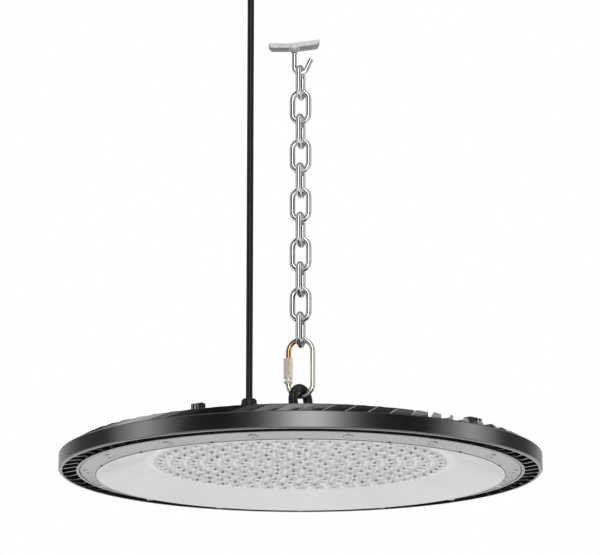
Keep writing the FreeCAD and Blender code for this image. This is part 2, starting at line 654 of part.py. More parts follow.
def domed_plate(radius):
    """The lens's middle, a plate with a low flat-faced cap under each LED."""
    root, top = polygon(DOME_R, PLATE_Z), polygon(DOME_R * DOME_TOP, PLATE_Z - DOME_HEIGHT)
    sides = [[root[k - 1], root[k], top[k], top[k - 1]] for k in range(DOME_SIDES)]
    cap = group([Part.Face(closed(points)) for points in [top] + sides])
    places = chip_places()
    plate = Part.Face([circle(radius, PLATE_Z)] + [move(closed(root[::-1]), x, y) for x, y in places])
    faces = [plate, Part.Face(circle(radius, PLATE_Z + LENS_T))]
    faces += [f for f in cylinder(radius, LENS_T, z=PLATE_Z).Faces if f.Surface.TypeId == "Part::GeomCylinder"]
    for x, y in places:
        faces += move(cap, x, y).Faces
    shell = Part.makeCompound(faces)
    shell.sewShape()
    return Part.Solid(shell.Shells[0])


def lens_gasket():
    low = HOUSING_BOTTOM + LENS_EDGE_T
    outer = cylinder(GASKET_R + GASKET_W, SEAT_Z - low, z=low)
    return outer.cut(cylinder(GASKET_R, SEAT_Z - low, z=low))


def lens_screws():
    one = screw(M4, SEAT_Z + SCREW_DEPTH - SCREW_SPARE - LENS_SCREW_SEAT)
    return group([move(one, x, y, LENS_SCREW_SEAT) for x, y in lens_screw_places()])


def drilled_disc(thickness, z):
    disc = cylinder(BOARD_R, thickness, z=z)
    holes = [cylinder(LEAD_HOLE_R, thickness, *LEAD_HOLE_AT, z)]
    holes += [cylinder(M3[0] + 2 * RUN_GAP, thickness, x, y, z) for x, y in on_circle(BOARD_SCREW_R, BOARD_SCREW_COUNT)]
    return disc.cut(holes)


def thermal_pad():
    return drilled_disc(PAD_T, BOARD_SEAT_Z - PAD_T)


def led_board():
    return drilled_disc(BOARD_T, BOARD_Z)


def led_chips():
    return group([block(CHIP, x, y, BOARD_Z - CHIP[2]) for x, y in chip_places()])


def led_board_screws():
    one = screw(M3, BOARD_T + PAD_T + SCREW_DEPTH - SCREW_SPARE)
    return group([move(one, x, y, BOARD_Z) for x, y in on_circle(BOARD_SCREW_R, BOARD_SCREW_COUNT)])


def cover_profile():
    wall = COVER_WALL
    top, seat = COVER_TOP_Z, COVER_SEAT_Z
    return [
        (COVER_BASE_R - wall, seat), (COVER_FLANGE_R, seat), (COVER_FLANGE_R, seat + COVER_FLANGE_T),
        (COVER_BASE_R, seat + COVER_FLANGE_T), (COVER_TOP_R + COVER_SHOULDER, top - COVER_SHOULDER),
        (COVER_TOP_R, top), (0, top), (0, top - wall - COVER_BOSS_T), (COVER_BOSS_R, top - wall - COVER_BOSS_T),
        (COVER_BOSS_R, top - wall), (COVER_TOP_R - 1, top - wall), (COVER_TOP_R, top - wall - 1)]


def driver_cover():
    holes = [cylinder(EYE_SHANK_R + RUN_GAP, COVER_TOP_Z)]
    holes.append(cylinder(GLAND_THREAD_R + RUN_GAP, COVER_TOP_Z, *GLAND_AT))
    for x, y in on_circle(COVER_SCREW_R, COVER_SCREW_COUNT):
        holes.append(cylinder(M4[0] + 2 * RUN_GAP, COVER_TOP_Z, x, y))
    return turned(cover_profile()).cut(holes)


def driver_cover_gasket():
    ring = cylinder(COVER_FLANGE_R, COVER_GASKET_T, z=PAN_TOP_Z)
    holes = [cylinder(COVER_BASE_R - COVER_WALL, COVER_GASKET_T, z=PAN_TOP_Z)]
    for x, y in on_circle(COVER_SCREW_R, COVER_SCREW_COUNT):
        holes.append(cylinder(M4[0] + 2 * RUN_GAP, COVER_GASKET_T, x, y, PAN_TOP_Z))
    return ring.cut(holes)


def driver_cover_screws():
    one = upside_down(screw(M4, COVER_FLANGE_T + COVER_GASKET_T + SCREW_DEPTH - SCREW_SPARE))
    seat = COVER_SEAT_Z + COVER_FLANGE_T
    return group([move(one, x, y, seat) for x, y in on_circle(COVER_SCREW_R, COVER_SCREW_COUNT)])


# Driver


def standoff_places():
    return on_circle(STANDOFF_R, STANDOFF_COUNT, 45)


def board_standoffs():
    radius, height = STANDOFF
    one = cylinder(radius, height).cut(cylinder(M3[0] + RUN_GAP, height))
    return group([move(one, x, y, PAN_TOP_Z) for x, y in standoff_places()])


def driver_circuit_board():
    disc = cylinder(DRIVER_OUTER_R, DRIVER_T, z=DRIVER_Z)
    holes = [cylinder(DRIVER_INNER_R, DRIVER_T, z=DRIVER_Z)]
    holes += [cylinder(M3[0] + 2 * RUN_GAP, DRIVER_T, x, y, DRIVER_Z) for x, y in standoff_places()]
    return disc.cut(holes)


def board_screws():
    one = upside_down(screw(M3, DRIVER_T + STANDOFF[1] + SCREW_DEPTH - SCREW_SPARE))
    return group([move(one, x, y, DRIVER_Z + DRIVER_T) for x, y in standoff_places()])


def transformer():
    """Ferrite core round a wound bobbin."""
    x, y = TRANSFORMER_AT
    long, wide, high = TRANSFORMER
    leg, yoke = TRANSFORMER_LEG, TRANSFORMER_YOKE
    shapes = [block((leg, wide - 2 * yoke, high), x + s * (long - leg) / 2, y, PARTS_Z) for s in (-1, 1)]
    shapes += [block((long, yoke, high), x, y + s * (wide - yoke) / 2, PARTS_Z) for s in (-1, 1)]
    winding = (long - 2 * leg - 2 * WINDING_INSET, wide - 2 * yoke, high - 2 * WINDING_INSET)
    shapes.append(block(winding, x, y, PARTS_Z + WINDING_INSET))
    return fuse(shapes)


def choke_coil():
    x, y = CHOKE_AT
    ring = Part.makeTorus(CHOKE_R, CHOKE_WIRE_R, V(x, y, PARTS_Z + CHOKE_WIRE_R), UP)
    pins = [cylinder(CHOKE_PIN_R, CHOKE_WIRE_R, x + s * CHOKE_R, y, PARTS_Z) for s in (-1, 1)]
    return fuse([ring] + pins)


def capacitor(x, y, length, radius):
    """An electrolytic capacitor that lies on the board, with its end groove."""
    along, z = V(1, 0, 0), PARTS_Z + radius
    width, depth = CAPACITOR_GROOVE
    can = cylinder(radius, length, x - length / 2, y, z, along)
    groove_x = x - length / 2 + 2 * width
    groove = cylinder(radius + 1, width, groove_x, y, z, along)
    return can.cut(groove.cut(cylinder(radius - depth, width, groove_x, y, z, along)))


def capacitors():
    cans = [capacitor(*place, CAPACITOR_R) for place in CAPACITORS]
    return group(cans + [capacitor(*place, SMALL_CAPACITOR_R) for place in SMALL_CAPACITORS])


def power_transistors():
    return group([turn(block(TRANSISTOR, x, y, PARTS_Z), TRANSISTOR_TURN, V(x, y, 0)) for x, y in TRANSISTORS_AT])


def terminal_entries():
    x, y = TERMINAL_AT
    return [(x + k * TERMINAL_PITCH, y + TERMINAL[1] / 2) for k in (-1, 0, 1)]


def terminal_block():
    x, y = TERMINAL_AT
    high = PARTS_Z + TERMINAL[2]
    screw_r, screw_t = TERMINAL_SCREW
    bores = [cylinder(TERMINAL_BORE_R, TERMINAL[1] / 2, ex, ey, PARTS_Z + TERMINAL_BORE_Z, V(0, -1, 0))
             for ex, ey in terminal_entries()]
    heads = [cylinder(screw_r, screw_t, ex, y, high - screw_t) for ex, ey in terminal_entries()]
    return block(TERMINAL, x, y, PARTS_Z).cut(bores + heads)


def mains_leads():
    """Three wires from the gland's bore into the terminal block."""
    gland_x, y = GLAND_AT
    z = PARTS_Z + TERMINAL_BORE_Z
    wires = []
    for k, (end_x, end_y) in zip((-1, 0, 1), terminal_entries()):
        x = gland_x + k * MAINS_LEAD_PITCH
        path = [(x, y, SEAL_Z), (x, y, z), (end_x, (y + end_y) / 2, z), (end_x, end_y - TERMINAL[1] / 5, z)]
        wires.append(bent_wire(path, MAINS_LEAD_R, MAINS_LEAD_BEND))
    return group(wires)


def bent_wire(points, radius, bend):
    """A wire through points, with each inner corner rounded to the radius bend or what its runs allow."""
    spots = [V(*p) for p in points]
    edges, here = [], spots[0]
    for before, corner, after in zip(spots, spots[1:], spots[2:]):
        back, ahead = (before - corner).normalize(), (after - corner).normalize()
        half = back.getAngle(ahead) / 2
        room = 0.45 * min((before - corner).Length, (after - corner).Length)
        cut = min(bend / math.tan(half), room)
        a, b = corner + back * cut, corner + ahead * cut
        depth = cut / math.cos(half) - cut * math.tan(half)
        through = corner + (back + ahead).normalize() * depth
        edges += [Part.LineSegment(here, a).toShape(), Part.Arc(a, through, b).toShape()]
        here = b
    edges.append(Part.LineSegment(here, spots[-1]).toShape())
    return rod(edges, radius)


def led_leads():
    """Two wires from the driver board through the pan to the connector under the LED board."""
    hole_x, hole_y = LEAD_HOLE_AT
    low = BOARD_Z - 2 * LEAD_R
    wires = []
    for s in (-1, 1):
        x, y = hole_x + s * LEAD_PITCH / 2, hole_y + s * LEAD_PITCH / 2
        wires.append(bent_wire([(x, y, DRIVER_Z), (x, y, low), (x + LEAD_RUN, y, low)], LEAD_R, 2 * LEAD_R))
    return group(wires)


def led_connector():
    x, y = LEAD_HOLE_AT
    x += LEAD_PITCH / 2 + LEAD_RUN + CONNECTOR[0] / 2
    return block(CONNECTOR, x, y, BOARD_Z - CONNECTOR[2])


# Cable gland and cord


def gland_body():
    x, y = GLAND_AT
    thread_t = COVER_WALL + LOCKNUT_T + THREAD_SPARE
    hexed = hexagon(GLAND_FLATS, GLAND_HEX_T, x, y, COVER_TOP_Z)
    thread = cylinder(GLAND_THREAD_R, thread_t, x, y, COVER_TOP_Z - thread_t)
    neck = cylinder(GLAND_NECK_R, SEAL_Z - REST_GAP - COVER_TOP_Z, x, y, COVER_TOP_Z)
    return fuse([hexed, thread, neck]).cut(cylinder(GLAND_BORE_R, SEAL_Z, x, y))


def gland_nut():
    x, y = GLAND_AT
    low = COVER_TOP_Z + GLAND_HEX_T + GLAND_NUT_GAP
    top, hex_top = GLAND_TOP_Z, low + GLAND_NUT_HEX_T
    bore, cone_r, edge_r = CORD_R + THREAD_GAP, GLAND_FLATS / 2, GLAND_NECK_R + GLAND_NUT_EDGE
    dome = turned([(bore, low), (cone_r, low), (cone_r, hex_top), (edge_r, top - GLAND_NUT_EDGE),
                   (edge_r - GLAND_NUT_EDGE, top), (bore, top)])
    shell = fuse([hexagon(GLAND_FLATS, GLAND_NUT_HEX_T, x, y, low), move(dome, x, y)])
    hollow = cylinder(GLAND_NECK_R + THREAD_GAP, top - GLAND_CAP_T - low, x, y, low)
    return shell.cut([hollow, cylinder(bore, top, x, y)])


def gland_seal():
    x, y = GLAND_AT
    ring = cylinder(GLAND_NECK_R, GLAND_SEAL_T, x, y, SEAL_Z)
    return ring.cut(cylinder(CORD_R + THREAD_GAP, GLAND_SEAL_T, x, y, SEAL_Z))


def gland_locknut():
    x, y = GLAND_AT
    low = COVER_TOP_Z - COVER_WALL - LOCKNUT_T
    nut = hexagon(LOCKNUT_FLATS, LOCKNUT_T, x, y, low)
    return nut.cut(cylinder(GLAND_THREAD_R + THREAD_GAP, LOCKNUT_T, x, y, low))


def supply_cord():
    return cylinder(CORD_R, CORD_LENGTH, *GLAND_AT, GLAND_TOP_Z)


def ceiling_grip_nut():
    """Clamping nut of the cord grip. The cord ends against the inside of its mouth."""
    mouth, cone_low, cone_high = CORD_R + GRIP_MOUTH_WALL, *GRIP_CONE
    nut = turned([(0, 0), (mouth, 0), (GRIP_R - GRIP_MOUTH_WALL, cone_low), (GRIP_R, cone_high),
                  (GRIP_R, GRIP_NUT_T), (0, GRIP_NUT_T)])
    return move(nut, *GLAND_AT, GRIP_Z)


def ceiling_grip():
    x, y = GLAND_AT
    low = GRIP_Z + GRIP_NUT_T
    hexed = hexagon(2 * GRIP_R, GRIP_HEX_T, x, y, low)
    return fuse([hexed, cylinder(GRIP_STEM_R, GRIP_STEM_T, x, y, low + GRIP_HEX_T)])


HANGING = [toggle_nut, toggle_wing_left, toggle_wing_right, toggle_spring, ceiling_hook, quick_link_body,
           quick_link_sleeve]
LUMINAIRE = [
    lifting_eye, eye_washer, eye_lock_nut, heat_sink, driver_cover, driver_cover_gasket, driver_cover_screws,
    driver_circuit_board, board_standoffs, board_screws, transformer, choke_coil, capacitors, power_transistors,
    terminal_block, mains_leads, led_leads, led_connector, thermal_pad, led_board, led_chips, led_board_screws, lens,
    lens_gasket, lens_screws, gland_body, gland_nut, gland_seal, gland_locknut, supply_cord, ceiling_grip_nut,
    ceiling_grip]


def main():
    nodes = {make.__name__: make() for make in HANGING}
    for index in range(LINK_COUNT):
        nodes["chain_link_%02d" % (index + 1)] = chain_link(index)
    for make in LUMINAIRE:
        nodes[make.__name__] = move(make(), LOAD_X, 0, LAMP_Z)
    os.makedirs("parts", exist_ok=True)
    for name, shape in nodes.items():
        shape.exportStep("parts/%s.step" % name)


main()
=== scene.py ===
import json
import math

import bmesh
import bpy
from mathutils import Matrix, Vector


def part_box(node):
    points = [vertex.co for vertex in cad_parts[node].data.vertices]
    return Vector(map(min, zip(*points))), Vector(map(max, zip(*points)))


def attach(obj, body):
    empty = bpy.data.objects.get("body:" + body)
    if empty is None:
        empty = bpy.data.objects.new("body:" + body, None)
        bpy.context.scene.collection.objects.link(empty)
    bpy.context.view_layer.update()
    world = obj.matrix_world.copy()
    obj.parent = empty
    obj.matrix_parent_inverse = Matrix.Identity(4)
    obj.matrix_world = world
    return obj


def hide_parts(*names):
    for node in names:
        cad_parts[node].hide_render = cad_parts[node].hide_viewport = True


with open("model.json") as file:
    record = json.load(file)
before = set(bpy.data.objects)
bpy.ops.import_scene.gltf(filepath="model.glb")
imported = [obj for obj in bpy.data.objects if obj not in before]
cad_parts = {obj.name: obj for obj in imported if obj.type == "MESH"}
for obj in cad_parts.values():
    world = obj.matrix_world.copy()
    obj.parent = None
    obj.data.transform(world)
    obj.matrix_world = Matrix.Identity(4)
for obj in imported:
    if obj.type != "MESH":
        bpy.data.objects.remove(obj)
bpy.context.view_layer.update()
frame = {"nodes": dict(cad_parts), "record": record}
NODES = frame["nodes"]


def middle(node):
    low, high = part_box(node)
    return (low + high) / 2


LAMP_AXIS = middle("driver_cover")
RIM_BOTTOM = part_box("heat_sink")[0].z
MM = 0.001


# Camera, at the photograph's angle: below the luminaire and tilted up at it

FOCAL_LENGTH, SENSOR_WIDTH = 173.4, 36.0    # mm
CAMERA_BACK, CAMERA_DROP = 2.2453, 0.3962    # m before the origin, m below the rim
CAMERA_TILT, CAMERA_TURN = 13.886, 0.011    # degrees
FAR_LIMIT = 50.0


def photo_camera():
    data = bpy.data.cameras.new("camera")
    data.lens = FOCAL_LENGTH
    data.sensor_width = SENSOR_WIDTH
    data.sensor_fit = "HORIZONTAL"
    data.clip_end = FAR_LIMIT
    camera = bpy.data.objects.new("camera", data)
    camera.location = (LAMP_AXIS.x, -CAMERA_BACK, RIM_BOTTOM - CAMERA_DROP)
    camera.rotation_euler = (math.radians(90 + CAMERA_TILT), 0.0, math.radians(CAMERA_TURN))
    bpy.context.scene.collection.objects.link(camera)
    bpy.context.scene.camera = camera
    bpy.context.scene.view_settings.view_transform = "Standard"


# Supply cord, taut and plumb from the gland to the grip at the ceiling

CORD_POINTS = (0.0, 0.05, 0.15, 0.3, 0.5, 0.7, 0.85, 0.95, 1.0)    # shares of its length


def supply_cord(sheath):
    low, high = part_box("supply_cord")
    centre = middle("supply_cord")
    radius = (high.x - low.x) / 2
    length = high.z - low.z
    curve = bpy.data.curves.new("cord_line", "CURVE")
    curve.dimensions = "3D"
    curve.bevel_depth = 1.0    # times each point's radius, which the curve's box counts in
    curve.bevel_resolution = 6
    curve.use_fill_caps = True
    curve.materials.append(sheath)
    spline = curve.splines.new("NURBS")
    spline.points.add(len(CORD_POINTS) - 1)
    for point, share in zip(spline.points, CORD_POINTS):
        point.co = (centre.x, centre.y, low.z + share * length, 1.0)
        point.radius = radius
    spline.order_u = 3
    spline.use_endpoint_u = True
    cord = bpy.data.objects.new("cord_line", curve)
    bpy.context.scene.collection.objects.link(cord)
    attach(cord, "luminaire")
    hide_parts("supply_cord")


# Node trees

CLOUD_STOPS = (0.3, 0.7)    # where a noise starts and ends to change colour or roughness


def math_node(tree, operation, *values):
    """Each value is a number or another node's output."""
    node = tree.nodes.new("ShaderNodeMath")
    node.operation = operation
    for socket, value in zip(node.inputs, values):
        if isinstance(value, (int, float)):
            socket.default_value = value
        else:
            tree.links.new(value, socket)
    return node.outputs[0]


def colour_ramp(tree, fac, stops):
    node = tree.nodes.new("ShaderNodeValToRGB")
    elements = node.color_ramp.elements
    while len(elements) < len(stops):
        elements.new(0.5)
    for element, (place, colour) in zip(elements, stops):
        element.position = place
        element.color = (*colour, 1.0)
    tree.links.new(fac, node.inputs["Fac"])
    return node.outputs["Color"]


def shade(colour, factor):
    return tuple(min(1.0, c * factor) for c in colour)


class Look:
    """A Principled material with its node tree at hand."""

    def __init__(self, name, **sockets):
        self.material = bpy.data.materials.new(name)
        self.material.use_nodes = True
        self.tree = self.material.node_tree
        self.shader = self.tree.nodes["Principled BSDF"]
        self.place = self.add("ShaderNodeTexCoord").outputs["Object"]
        for key, value in sockets.items():
            self.shader.inputs[key.replace("_", " ")].default_value = value

    def add(self, kind, **settings):
        node = self.tree.nodes.new(kind)
        for key, value in settings.items():
            setattr(node, key, value)
        return node

    def link(self, a, b):
        self.tree.links.new(a, b)

    def noise(self, scale, detail=3.0):
        node = self.add("ShaderNodeTexNoise")
        node.inputs["Scale"].default_value = scale
        node.inputs["Detail"].default_value = detail
        self.link(self.place, node.inputs["Vector"])
        return node.outputs["Fac"]

    def spread(self, fac, low, high, fac_low=CLOUD_STOPS[0], fac_high=CLOUD_STOPS[1]):
        node = self.add("ShaderNodeMapRange")
        for key, value in (("From Min", fac_low), ("From Max", fac_high), ("To Min", low), ("To Max", high)):
            node.inputs[key].default_value = value
        self.link(fac, node.inputs["Value"])
        return node.outputs["Result"]

    def colour(self, fac, stops):
        self.link(colour_ramp(self.tree, fac, stops), self.shader.inputs["Base Color"])

    def clouds(self, scale, dark, light, detail=3.0, stops=CLOUD_STOPS):
        self.colour(self.noise(scale, detail), list(zip(stops, (dark, light))))

    def roughness(self, scale, low, high):
        self.link(self.spread(self.noise(scale), low, high), self.shader.inputs["Roughness"])

    def bump(self, fac, height, strength):
        node = self.add("ShaderNodeBump")
        node.inputs["Strength"].default_value = strength
        node.inputs["Distance"].default_value = height
        self.link(fac, node.inputs["Height"])
        self.link(node.outputs["Normal"], self.shader.inputs["Normal"])


# Materials of the CAD pieces


def powder_black(name, colour=(0.008, 0.008, 0.009), rough=(0.2, 0.27), coat=1.0, specular=1.0):
    look = Look(name, Specular_IOR_Level=specular, Coat_Weight=coat, Coat_Roughness=0.14, Coat_IOR=1.7)
    look.clouds(60, shade(colour, 0.85), shade(colour, 1.3))
    look.roughness(350, *rough)
    look.bump(look.noise(2600, 2.0), 0.02 * MM, 0.12)
    return look.material


def plated(name, colour, rough, mottle=0.12, scale=220, marks=0.08, metal=1.0):
    """Zinc plate: bright metal with faint clouds and fine draw marks."""
    look = Look(name, Metallic=metal)
    look.clouds(scale, shade(colour, 1 - mottle), shade(colour, 1 + mottle / 2), 4.0)
    look.roughness(700, *rough)
    look.bump(look.noise(900, 2.0), 0.03 * MM, marks)
    return look.material


def yellow_plate(name, stops, rough=(0.08, 0.16), metal=1.0):
    """Yellow passivated zinc, deep at the quick link's upper left and fading to silver right and down."""
    look = Look(name, Metallic=metal)
    low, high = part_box("quick_link_body")
    axes = look.add("ShaderNodeSeparateXYZ")
    look.link(look.place, axes.inputs[0])
    across = look.spread(axes.outputs["X"], -0.2, 0.8, low.x, high.x)
    down = look.spread(axes.outputs["Z"], 0.6, 0.0, low.z, (low.z + high.z) / 2)
    fade = math_node(look.tree, "ADD", across, down)
    look.colour(math_node(look.tree, "MULTIPLY_ADD", look.noise(70, 2.0), 0.4, fade), stops)
    look.roughness(500, *rough)
    look.bump(look.noise(1800), 0.03 * MM, 0.08)
    return look.material


def moulded(name, colour, rough=(0.4, 0.55), grain=1500, specular=0.5):
    look = Look(name, Specular_IOR_Level=specular)
    look.clouds(120, shade(colour, 0.93), shade(colour, 1.05))
    look.roughness(400, *rough)
    look.bump(look.noise(grain, 2.0), 0.03 * MM, 0.4)
    return look.material


def copper_winding(name):
    look = Look(name, Metallic=1.0, Roughness=0.35)
    wave = look.add("ShaderNodeTexWave", bands_direction="DIAGONAL")
    wave.inputs["Scale"].default_value = 420.0
    wave.inputs["Distortion"].default_value = 1.0
    look.link(look.place, wave.inputs["Vector"])
    look.colour(wave.outputs["Fac"], [(0.2, (0.36, 0.12, 0.04)), (0.7, (0.75, 0.34, 0.14))])
    look.bump(wave.outputs["Fac"], 0.2 * MM, 0.6)
    return look.material


def circuit_board(name, colour, trace):
    """Solder mask over fine traces."""
    look = Look(name)
    brick = look.add("ShaderNodeTexBrick", offset=0.37, squash=0.6)
    for key, value in (
            ("Scale", 90.0), ("Mortar Size", 0.012), ("Brick Width", 0.9), ("Row Height", 0.3),
            ("Color1", (*colour, 1)), ("Color2", (*shade(colour, 1.15), 1)), ("Mortar", (*trace, 1))):
        brick.inputs[key].default_value = value
    look.link(look.place, brick.inputs["Vector"])
    look.link(brick.outputs["Color"], look.shader.inputs["Base Color"])
    look.roughness(300, 0.25, 0.4)
    look.bump(brick.outputs["Fac"], 0.05 * MM, 0.5)
    return look.material


def node_looks():
    """A material for each of the record's slots."""
    gold = [(0.05, (0.62, 0.36, 0.14)), (0.3, (0.82, 0.62, 0.36)), (0.55, (0.80, 0.77, 0.70))]
    looks = {
        "black_casting": powder_black("black_powder_coat"),
        "black_steel": powder_black("black_steel", (0.007, 0.007, 0.008), (0.34, 0.44), 0.0, 0.35),
        "zinc_wire": plated("bright_zinc", (0.78, 0.78, 0.79), (0.06, 0.13)),
        "zinc_sheet": plated("zinc_sheet", (0.52, 0.52, 0.52), (0.45, 0.55), 0.1, 120, 0.03, 0.4),
        "yellow_zinc": yellow_plate("yellow_zinc", gold),
        "steel": plated("screw_steel", (0.62, 0.61, 0.58), (0.2, 0.35)),
        "nylon_black": moulded("black_nylon", (0.006, 0.006, 0.007), (0.35, 0.5), 1500, 0.35),
        "nylon_white": moulded("white_nylon", (0.8, 0.8, 0.76)),
        "rubber": moulded("black_rubber", (0.02, 0.02, 0.02), (0.6, 0.8)),
        "pad_grey": moulded("thermal_silicone", (0.42, 0.45, 0.5), (0.6, 0.75)),
        "ferrite": moulded("ferrite_and_tape", (0.03, 0.03, 0.032), (0.45, 0.6)),
        "capacitor_sleeve": moulded("capacitor_sleeve", (0.015, 0.02, 0.05), (0.25, 0.4)),
        "copper": copper_winding("copper_winding"),
        "board_green": circuit_board("green_board", (0.02, 0.16, 0.06), (0.05, 0.3, 0.12)),
        "board_white": circuit_board("white_board", (0.78, 0.78, 0.76), (0.66, 0.67, 0.66)),
        "chip_yellow": moulded("led_phosphor", (0.85, 0.68, 0.16), (0.3, 0.45), 3000),
        "lead_sheath": moulded("lead_sheath", (0.25, 0.1, 0.03), (0.3, 0.45)),
        "cord_sheath": moulded("cord_sheath", (0.006, 0.006, 0.007), (0.25, 0.36), 900, 0.3),
    }
    looks["lens_clear"] = looks["nylon_white"]    # never seen, because optic_lens stands for the lens
    return looks


def dress_cad_nodes(looks):
    pale = [(0.0, (0.92, 0.82, 0.64)), (0.5, (0.94, 0.90, 0.82))]
    for part in frame["record"]["subparts"]:
        slots = NODES[part["node"]].data.materials
        slots.clear()
        slots.append(looks[part["material_slot"]])
    NODES["quick_link_sleeve"].data.materials[0] = yellow_plate("pale_yellow_zinc", pale, (0.3, 0.4), 0.6)


# Materials of the lens


def flange_look():
    """Grey translucent rim of the lens over the dark gasket and seat."""
    look = Look("lens_flange")
    look.clouds(30, (0.455, 0.455, 0.465), (0.485, 0.485, 0.495))
    look.roughness(250, 0.22, 0.3)
    look.bump(look.noise(900), 0.02 * MM, 0.08)
    return look.material


def dish_look():
    look = Look("lens_dish")
    look.clouds(18, (0.74, 0.75, 0.75), (0.80, 0.81, 0.81))
    look.roughness(250, 0.16, 0.26)
    look.bump(look.noise(700), 0.02 * MM, 0.2)
    return look.material


def plate_look():
    look = Look("lens_plate")
    look.clouds(40, (0.86, 0.87, 0.88), (0.90, 0.91, 0.92))
    look.roughness(300, 0.06, 0.14)
    look.bump(look.noise(800), 0.02 * MM, 0.2)
    return look.material


def led_look():
    """The LED as its dome shows it, dark in some and faint in others."""
    look = Look("led_in_dome")
    look.clouds(75, (0.02, 0.02, 0.02), (0.6, 0.6, 0.59), 1.0, (0.42, 0.58))
    look.roughness(300, 0.1, 0.2)
    return look.material


def bead_look():
    """Clear moulded optic."""
    look = Look("lens_bead", Transmission_Weight=0.8, IOR=1.3)
    look.clouds(90, (0.96, 0.97, 0.97), (0.99, 0.99, 1.0))
    look.roughness(300, 0.03, 0.08)
    look.bump(look.noise(800), 0.01 * MM, 0.1)
    return look.material


def shadow_look():
    """The step between lip and flange, which no light reaches."""
    look = Look("lens_step")
    look.clouds(60, (0.10, 0.10, 0.105), (0.15, 0.15, 0.155))
    look.roughness(250, 0.3, 0.45)
    return look.material


def crest_highlight_look():
    """White ring round a bead's dimple: a painted highlight where the crest catches the light."""
    look = Look("lens_bead_crest_painted_highlight")
    look.clouds(90, (0.94, 0.94, 0.94), (0.98, 0.98, 0.98))
    look.roughness(300, 0.18, 0.3)
    return look.material


LENS_LOOKS = (flange_look, dish_look, plate_look, led_look, bead_look, shadow_look, crest_highlight_look)
FLANGE, DISH, PLATE, LED, BEAD, SHADOW, CREST_HIGHLIGHT = range(len(LENS_LOOKS))


# Lens: a turned form, in mm from the lamp's axis and mm above the rim's bottom

PLATE_R, PLATE_Z, PLATE_T = 122.0, 8.5, 1.4
DISH_R, DISH_Z = 158.6, -3.4
DISH_EASE, EASE_STEPS = 6.0, 4
LIP_OUTLINE = [(158.2, -3.25), (158.9, -3.4), (160.1, -3.4), (160.4, -3.35), (160.6, -3.15)]
STEP_R, STEP_Z = 161.2, -2.6
FLANGE_OUTLINE = [(172.6, 0.06), (173.0, 0.25), (173.2, 0.6)]
TOP_OUTLINE = [(173.2, 2.8), (160.0, 2.8), (DISH_R, -2.0), (PLATE_R, PLATE_Z + PLATE_T)]
LENS_STEPS = 360

# Screw pockets in the flange, and notches in the step halfway between them
SCREWS, SCREW_CIRCLE_R = 15, 167.0
POCKET_R, POCKET_SEAT, POCKET_BELOW, POCKET_STEPS = 3.8, -0.2, -6.0, 40
NOTCH = (3.0, 1.6, 2.0)

# Optics in rings round the middle. Outline in shares of radius and height, from the plate in to the dimple
DOME_RINGS, DOME_STEP, DOME_TWIST = 9, 13.0, 11.0
FIRST_RING, RING_GROWTH = 3, 6
DOME_R, DOME_TALL, DOME_ROOT, DOME_STEPS = 5.2, 2.6, 0.1, 20
DOME_OUTLINE = [(1.0, 0.0), (0.985, 0.2), (0.94, 0.42), (0.86, 0.64), (0.74, 0.83), (0.6, 0.95), (0.46, 1.0),
                (0.33, 0.95), (0.22, 0.84), (0.1, 0.74)]
# Bands of each bead that carry the painted highlight on its crest
CREST_HIGHLIGHT_BANDS = (6, 7)
LED_OUTLINE = [(0.9, -0.1), (0.9, 0.4), (0.72, 0.65), (0.35, 0.8)]    # mm from its middle, mm below the plate
LED_STEPS = 12
SHARP_ANGLE = 35    # degrees between faces, from which an edge is shaded sharp


def dish_outline():
    """The sloping dish's inner edge, eased out of the plate. The lip's first point ends its slope."""
    slope = (DISH_Z - PLATE_Z) / (DISH_R - PLATE_R)
    runs = [DISH_EASE * k / EASE_STEPS for k in range(EASE_STEPS + 1)]
    return [(PLATE_R + run, PLATE_Z + slope * run * run / (2 * DISH_EASE)) for run in runs]


def ring_of(work, radius, height, steps, centre=(0.0, 0.0)):
    turns = [2 * math.pi * k / steps for k in range(steps)]
    places = [(centre[0] + radius * math.cos(a), centre[1] + radius * math.sin(a)) for a in turns]
    return [work.verts.new((x * MM, y * MM, height * MM)) for x, y in places]


def band(work, low, high, material):
    for k in range(len(low)):
        face = work.faces.new([low[k - 1], low[k], high[k], high[k - 1]])
        face.material_index = material
        face.smooth = True


def cap(work, ring, material, downward):
    face = work.faces.new(ring[::-1] if downward else ring)
    face.material_index = material


def lens_shell(work):
    """Plate, dish, lip and flange as one closed form, from the middle outwards and back along the top."""
    parts = ((dish_outline(), DISH), (LIP_OUTLINE, DISH), ([(STEP_R, STEP_Z)], SHADOW),
             (FLANGE_OUTLINE, FLANGE), (TOP_OUTLINE, FLANGE))
    rings, materials = [], []
    for outline, material in parts:
        for radius, height in outline:
            rings.append(ring_of(work, radius, height, LENS_STEPS))
            materials.append(material)
    for low, high, material in zip(rings, rings[1:], materials[1:]):
        band(work, high, low, material)
    cap(work, rings[0], PLATE, True)
    cap(work, rings[-1], PLATE, False)


def dome_places():
    for ring in range(DOME_RINGS):
        radius, count = DOME_STEP * (ring + 0.5), FIRST_RING + RING_GROWTH * ring
        for k in range(count):
            angle = math.radians(DOME_TWIST * ring + 360 * k / count)
            yield radius * math.sin(angle), -radius * math.cos(angle)


def dome(work, centre):
    """One optic: a clear dimpled bead, closed just inside the plate, and the LED under it."""
    rings = [ring_of(work, DOME_R, PLATE_Z + DOME_ROOT, DOME_STEPS, centre)]
    rings += [ring_of(work, DOME_R * r, PLATE_Z - DOME_TALL * h, DOME_STEPS, centre) for r, h in DOME_OUTLINE]
    cap(work, rings[0], BEAD, False)
    for k, (low, high) in enumerate(zip(rings, rings[1:])):
        # The crest bands take the white of the painted highlight
        band(work, high, low, CREST_HIGHLIGHT if k in CREST_HIGHLIGHT_BANDS else BEAD)
    cap(work, rings[-1], BEAD, True)
    led = [ring_of(work, r, PLATE_Z - z, LED_STEPS, centre) for r, z in LED_OUTLINE]
    cap(work, led[0], LED, False)
    for low, high in zip(led, led[1:]):
        band(work, high, low, LED)
    cap(work, led[-1], LED, True)


